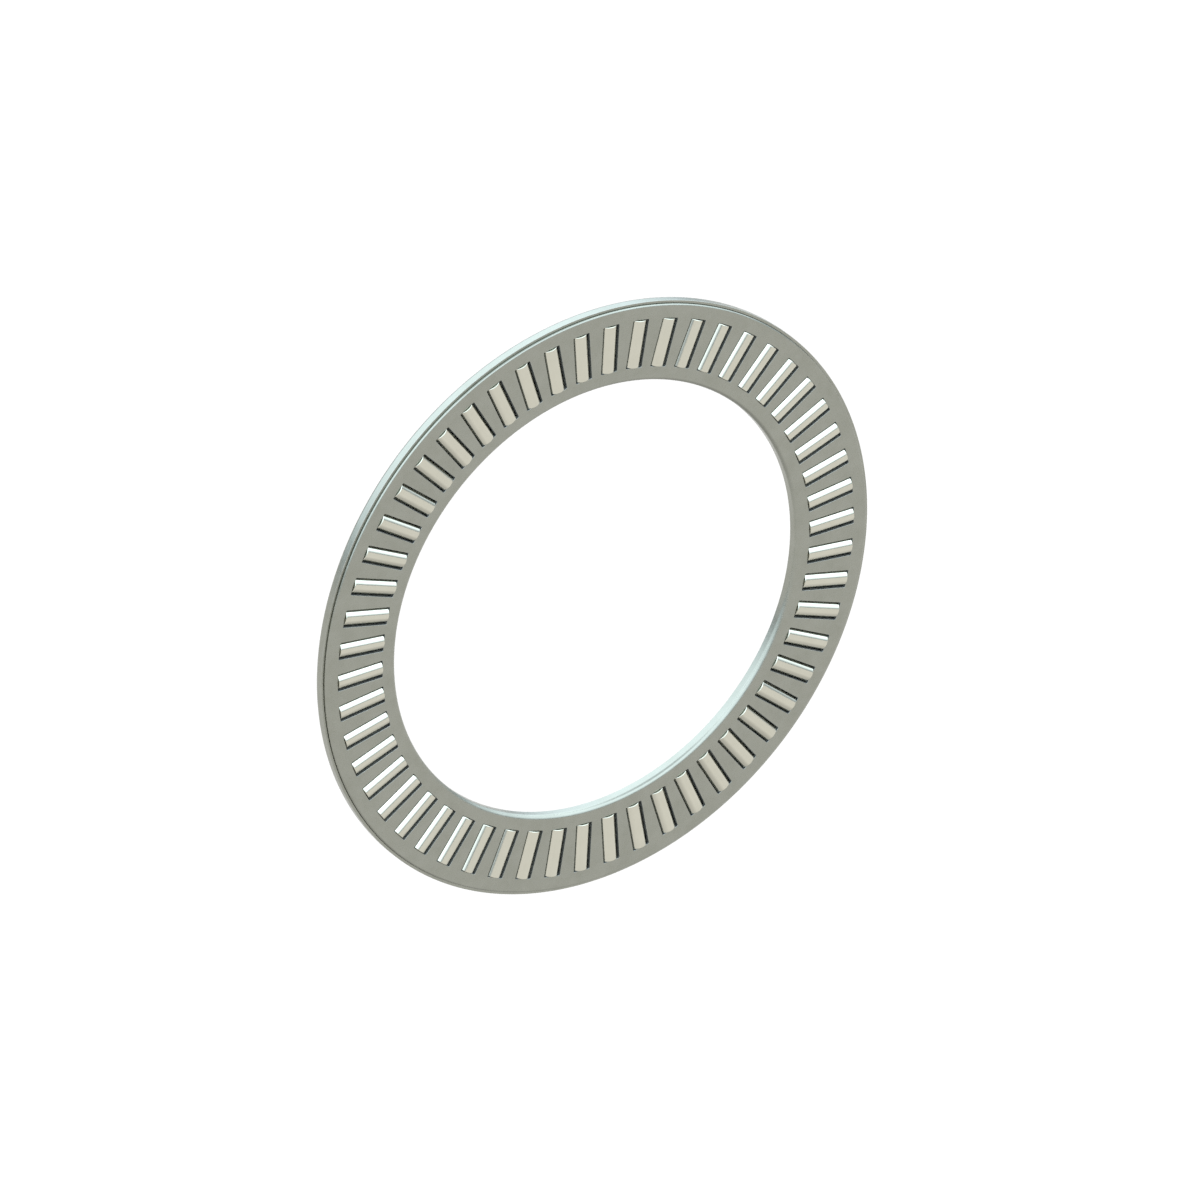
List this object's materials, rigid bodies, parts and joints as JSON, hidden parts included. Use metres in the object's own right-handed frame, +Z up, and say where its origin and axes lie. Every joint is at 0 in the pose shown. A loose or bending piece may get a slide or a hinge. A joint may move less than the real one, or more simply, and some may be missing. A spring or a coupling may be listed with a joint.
{
  "type": "needle roller thrust bearing",
  "caption": "Flat ring of radial needle rollers held in a two-piece pressed steel cage, which carries axial load between two flat raceways.",
  "frame": {"origin": "centre of the ring, on its axis and midway through its thickness", "axes": "the ring stands upright: Y is its axis, -Y is the way its front face looks, +Z is up, and roller 1 lies along +X"},
  "size_m": [0.0696, 0.002, 0.0696],
  "materials": {
    "cage_steel": "matt grey pressed and hardened steel sheet, faintly mottled",
    "roller_steel": "ground and polished bearing steel, bright"
  },
  "bodies": {
    "cage": {"front_shell": "cage_steel", "back_shell": "cage_steel"},
    "roller_01": {"roller_01": "roller_steel"},
    "roller_02": {"roller_02": "roller_steel"},
    "roller_03": {"roller_03": "roller_steel"},
    "roller_04": {"roller_04": "roller_steel"},
    "roller_05": {"roller_05": "roller_steel"},
    "roller_06": {"roller_06": "roller_steel"},
    "roller_07": {"roller_07": "roller_steel"},
    "roller_08": {"roller_08": "roller_steel"},
    "roller_09": {"roller_09": "roller_steel"},
    "roller_10": {"roller_10": "roller_steel"},
    "roller_11": {"roller_11": "roller_steel"},
    "roller_12": {"roller_12": "roller_steel"},
    "roller_13": {"roller_13": "roller_steel"},
    "roller_14": {"roller_14": "roller_steel"},
    "roller_15": {"roller_15": "roller_steel"},
    "roller_16": {"roller_16": "roller_steel"},
    "roller_17": {"roller_17": "roller_steel"},
    "roller_18": {"roller_18": "roller_steel"},
    "roller_19": {"roller_19": "roller_steel"},
    "roller_20": {"roller_20": "roller_steel"},
    "roller_21": {"roller_21": "roller_steel"},
    "roller_22": {"roller_22": "roller_steel"},
    "roller_23": {"roller_23": "roller_steel"},
    "roller_24": {"roller_24": "roller_steel"},
    "roller_25": {"roller_25": "roller_steel"},
    "roller_26": {"roller_26": "roller_steel"},
    "roller_27": {"roller_27": "roller_steel"},
    "roller_28": {"roller_28": "roller_steel"},
    "roller_29": {"roller_29": "roller_steel"},
    "roller_30": {"roller_30": "roller_steel"},
    "roller_31": {"roller_31": "roller_steel"},
    "roller_32": {"roller_32": "roller_steel"},
    "roller_33": {"roller_33": "roller_steel"},
    "roller_34": {"roller_34": "roller_steel"},
    "roller_35": {"roller_35": "roller_steel"},
    "roller_36": {"roller_36": "roller_steel"},
    "roller_37": {"roller_37": "roller_steel"},
    "roller_38": {"roller_38": "roller_steel"},
    "roller_39": {"roller_39": "roller_steel"},
    "roller_40": {"roller_40": "roller_steel"},
    "roller_41": {"roller_41": "roller_steel"},
    "roller_42": {"roller_42": "roller_steel"},
    "roller_43": {"roller_43": "roller_steel"},
    "roller_44": {"roller_44": "roller_steel"},
    "roller_45": {"roller_45": "roller_steel"},
    "roller_46": {"roller_46": "roller_steel"},
    "roller_47": {"roller_47": "roller_steel"},
    "roller_48": {"roller_48": "roller_steel"},
    "roller_49": {"roller_49": "roller_steel"},
    "roller_50": {"roller_50": "roller_steel"},
    "roller_51": {"roller_51": "roller_steel"},
    "roller_52": {"roller_52": "roller_steel"},
    "roller_53": {"roller_53": "roller_steel"},
    "roller_54": {"roller_54": "roller_steel"}
  },
  "joints": [
    {"name": "roller_01_spin", "type": "hinge", "parent": "cage", "child": "roller_01", "pos_m": [0.03002, 0, 0], "axis": [1, 0, 0], "continuous": true},
    {"name": "roller_02_spin", "type": "hinge", "parent": "cage", "child": "roller_02", "pos_m": [0.02982, 0, 0.00349], "axis": [0.9932, 0, 0.1161], "continuous": true},
    {"name": "roller_03_spin", "type": "hinge", "parent": "cage", "child": "roller_03", "pos_m": [0.02921, 0, 0.00692], "axis": [0.973, 0, 0.2306], "continuous": true},
    {"name": "roller_04_spin", "type": "hinge", "parent": "cage", "child": "roller_04", "pos_m": [0.02821, 0, 0.01027], "axis": [0.9397, 0, 0.342], "continuous": true},
    {"name": "roller_05_spin", "type": "hinge", "parent": "cage", "child": "roller_05", "pos_m": [0.02683, 0, 0.01347], "axis": [0.8936, 0, 0.4488], "continuous": true},
    {"name": "roller_06_spin", "type": "hinge", "parent": "cage", "child": "roller_06", "pos_m": [0.02508, 0, 0.0165], "axis": [0.8355, 0, 0.5495], "continuous": true},
    {"name": "roller_07_spin", "type": "hinge", "parent": "cage", "child": "roller_07", "pos_m": [0.023, 0, 0.0193], "axis": [0.766, 0, 0.6428], "continuous": true},
    {"name": "roller_08_spin", "type": "hinge", "parent": "cage", "child": "roller_08", "pos_m": [0.0206, 0, 0.02184], "axis": [0.6862, 0, 0.7274], "continuous": true},
    {"name": "roller_09_spin", "type": "hinge", "parent": "cage", "child": "roller_09", "pos_m": [0.01793, 0, 0.02408], "axis": [0.5972, 0, 0.8021], "continuous": true},
    {"name": "roller_10_spin", "type": "hinge", "parent": "cage", "child": "roller_10", "pos_m": [0.01501, 0, 0.026], "axis": [0.5, 0, 0.866], "continuous": true},
    {"name": "roller_11_spin", "type": "hinge", "parent": "cage", "child": "roller_11", "pos_m": [0.01189, 0, 0.02756], "axis": [0.3961, 0, 0.9182], "continuous": true},
    {"name": "roller_12_spin", "type": "hinge", "parent": "cage", "child": "roller_12", "pos_m": [0.00861, 0, 0.02876], "axis": [0.2868, 0, 0.958], "continuous": true},
    {"name": "roller_13_spin", "type": "hinge", "parent": "cage", "child": "roller_13", "pos_m": [0.00521, 0, 0.02956], "axis": [0.1736, 0, 0.9848], "continuous": true},
    {"name": "roller_14_spin", "type": "hinge", "parent": "cage", "child": "roller_14", "pos_m": [0.00175, 0, 0.02997], "axis": [0.0581, 0, 0.9983], "continuous": true},
    {"name": "roller_15_spin", "type": "hinge", "parent": "cage", "child": "roller_15", "pos_m": [-0.00175, 0, 0.02997], "axis": [-0.0581, 0, 0.9983], "continuous": true},
    {"name": "roller_16_spin", "type": "hinge", "parent": "cage", "child": "roller_16", "pos_m": [-0.00521, 0, 0.02956], "axis": [-0.1736, 0, 0.9848], "continuous": true},
    {"name": "roller_17_spin", "type": "hinge", "parent": "cage", "child": "roller_17", "pos_m": [-0.00861, 0, 0.02876], "axis": [-0.2868, 0, 0.958], "continuous": true},
    {"name": "roller_18_spin", "type": "hinge", "parent": "cage", "child": "roller_18", "pos_m": [-0.01189, 0, 0.02756], "axis": [-0.3961, 0, 0.9182], "continuous": true},
    {"name": "roller_19_spin", "type": "hinge", "parent": "cage", "child": "roller_19", "pos_m": [-0.01501, 0, 0.026], "axis": [-0.5, 0, 0.866], "continuous": true},
    {"name": "roller_20_spin", "type": "hinge", "parent": "cage", "child": "roller_20", "pos_m": [-0.01793, 0, 0.02408], "axis": [-0.5972, 0, 0.8021], "continuous": true},
    {"name": "roller_21_spin", "type": "hinge", "parent": "cage", "child": "roller_21", "pos_m": [-0.0206, 0, 0.02184], "axis": [-0.6862, 0, 0.7274], "continuous": true},
    {"name": "roller_22_spin", "type": "hinge", "parent": "cage", "child": "roller_22", "pos_m": [-0.023, 0, 0.0193], "axis": [-0.766, 0, 0.6428], "continuous": true},
    {"name": "roller_23_spin", "type": "hinge", "parent": "cage", "child": "roller_23", "pos_m": [-0.02508, 0, 0.0165], "axis": [-0.8355, 0, 0.5495], "continuous": true},
    {"name": "roller_24_spin", "type": "hinge", "parent": "cage", "child": "roller_24", "pos_m": [-0.02683, 0, 0.01347], "axis": [-0.8936, 0, 0.4488], "continuous": true},
    {"name": "roller_25_spin", "type": "hinge", "parent": "cage", "child": "roller_25", "pos_m": [-0.02821, 0, 0.01027], "axis": [-0.9397, 0, 0.342], "continuous": true},
    {"name": "roller_26_spin", "type": "hinge", "parent": "cage", "child": "roller_26", "pos_m": [-0.02921, 0, 0.00692], "axis": [-0.973, 0, 0.2306], "continuous": true},
    {"name": "roller_27_spin", "type": "hinge", "parent": "cage", "child": "roller_27", "pos_m": [-0.02982, 0, 0.00349], "axis": [-0.9932, 0, 0.1161], "continuous": true},
    {"name": "roller_28_spin", "type": "hinge", "parent": "cage", "child": "roller_28", "pos_m": [-0.03002, 0, 0], "axis": [-1, 0, 0], "continuous": true},
    {"name": "roller_29_spin", "type": "hinge", "parent": "cage", "child": "roller_29", "pos_m": [-0.02982, 0, -0.00349], "axis": [-0.9932, 0, -0.1161], "continuous": true},
    {"name": "roller_30_spin", "type": "hinge", "parent": "cage", "child": "roller_30", "pos_m": [-0.02921, 0, -0.00692], "axis": [-0.973, 0, -0.2306], "continuous": true},
    {"name": "roller_31_spin", "type": "hinge", "parent": "cage", "child": "roller_31", "pos_m": [-0.02821, 0, -0.01027], "axis": [-0.9397, 0, -0.342], "continuous": true},
    {"name": "roller_32_spin", "type": "hinge", "parent": "cage", "child": "roller_32", "pos_m": [-0.02683, 0, -0.01347], "axis": [-0.8936, 0, -0.4488], "continuous": true},
    {"name": "roller_33_spin", "type": "hinge", "parent": "cage", "child": "roller_33", "pos_m": [-0.02508, 0, -0.0165], "axis": [-0.8355, 0, -0.5495], "continuous": true},
    {"name": "roller_34_spin", "type": "hinge", "parent": "cage", "child": "roller_34", "pos_m": [-0.023, 0, -0.0193], "axis": [-0.766, 0, -0.6428], "continuous": true},
    {"name": "roller_35_spin", "type": "hinge", "parent": "cage", "child": "roller_35", "pos_m": [-0.0206, 0, -0.02184], "axis": [-0.6862, 0, -0.7274], "continuous": true},
    {"name": "roller_36_spin", "type": "hinge", "parent": "cage", "child": "roller_36", "pos_m": [-0.01793, 0, -0.02408], "axis": [-0.5972, 0, -0.8021], "continuous": true},
    {"name": "roller_37_spin", "type": "hinge", "parent": "cage", "child": "roller_37", "pos_m": [-0.01501, 0, -0.026], "axis": [-0.5, 0, -0.866], "continuous": true},
    {"name": "roller_38_spin", "type": "hinge", "parent": "cage", "child": "roller_38", "pos_m": [-0.01189, 0, -0.02756], "axis": [-0.3961, 0, -0.9182], "continuous": true},
    {"name": "roller_39_spin", "type": "hinge", "parent": "cage", "child": "roller_39", "pos_m": [-0.00861, 0, -0.02876], "axis": [-0.2868, 0, -0.958], "continuous": true},
    {"name": "roller_40_spin", "type": "hinge", "parent": "cage", "child": "roller_40", "pos_m": [-0.00521, 0, -0.02956], "axis": [-0.1736, 0, -0.9848], "continuous": true},
    {"name": "roller_41_spin", "type": "hinge", "parent": "cage", "child": "roller_41", "pos_m": [-0.00175, 0, -0.02997], "axis": [-0.0581, 0, -0.9983], "continuous": true},
    {"name": "roller_42_spin", "type": "hinge", "parent": "cage", "child": "roller_42", "pos_m": [0.00175, 0, -0.02997], "axis": [0.0581, 0, -0.9983], "continuous": true},
    {"name": "roller_43_spin", "type": "hinge", "parent": "cage", "child": "roller_43", "pos_m": [0.00521, 0, -0.02956], "axis": [0.1736, 0, -0.9848], "continuous": true},
    {"name": "roller_44_spin", "type": "hinge", "parent": "cage", "child": "roller_44", "pos_m": [0.00861, 0, -0.02876], "axis": [0.2868, 0, -0.958], "continuous": true},
    {"name": "roller_45_spin", "type": "hinge", "parent": "cage", "child": "roller_45", "pos_m": [0.01189, 0, -0.02756], "axis": [0.3961, 0, -0.9182], "continuous": true},
    {"name": "roller_46_spin", "type": "hinge", "parent": "cage", "child": "roller_46", "pos_m": [0.01501, 0, -0.026], "axis": [0.5, 0, -0.866], "continuous": true},
    {"name": "roller_47_spin", "type": "hinge", "parent": "cage", "child": "roller_47", "pos_m": [0.01793, 0, -0.02408], "axis": [0.5972, 0, -0.8021], "continuous": true},
    {"name": "roller_48_spin", "type": "hinge", "parent": "cage", "child": "roller_48", "pos_m": [0.0206, 0, -0.02184], "axis": [0.6862, 0, -0.7274], "continuous": true},
    {"name": "roller_49_spin", "type": "hinge", "parent": "cage", "child": "roller_49", "pos_m": [0.023, 0, -0.0193], "axis": [0.766, 0, -0.6428], "continuous": true},
    {"name": "roller_50_spin", "type": "hinge", "parent": "cage", "child": "roller_50", "pos_m": [0.02508, 0, -0.0165], "axis": [0.8355, 0, -0.5495], "continuous": true},
    {"name": "roller_51_spin", "type": "hinge", "parent": "cage", "child": "roller_51", "pos_m": [0.02683, 0, -0.01347], "axis": [0.8936, 0, -0.4488], "continuous": true},
    {"name": "roller_52_spin", "type": "hinge", "parent": "cage", "child": "roller_52", "pos_m": [0.02821, 0, -0.01027], "axis": [0.9397, 0, -0.342], "continuous": true},
    {"name": "roller_53_spin", "type": "hinge", "parent": "cage", "child": "roller_53", "pos_m": [0.02921, 0, -0.00692], "axis": [0.973, 0, -0.2306], "continuous": true},
    {"name": "roller_54_spin", "type": "hinge", "parent": "cage", "child": "roller_54", "pos_m": [0.02982, 0, -0.00349], "axis": [0.9932, 0, -0.1161], "continuous": true}
  ]
}
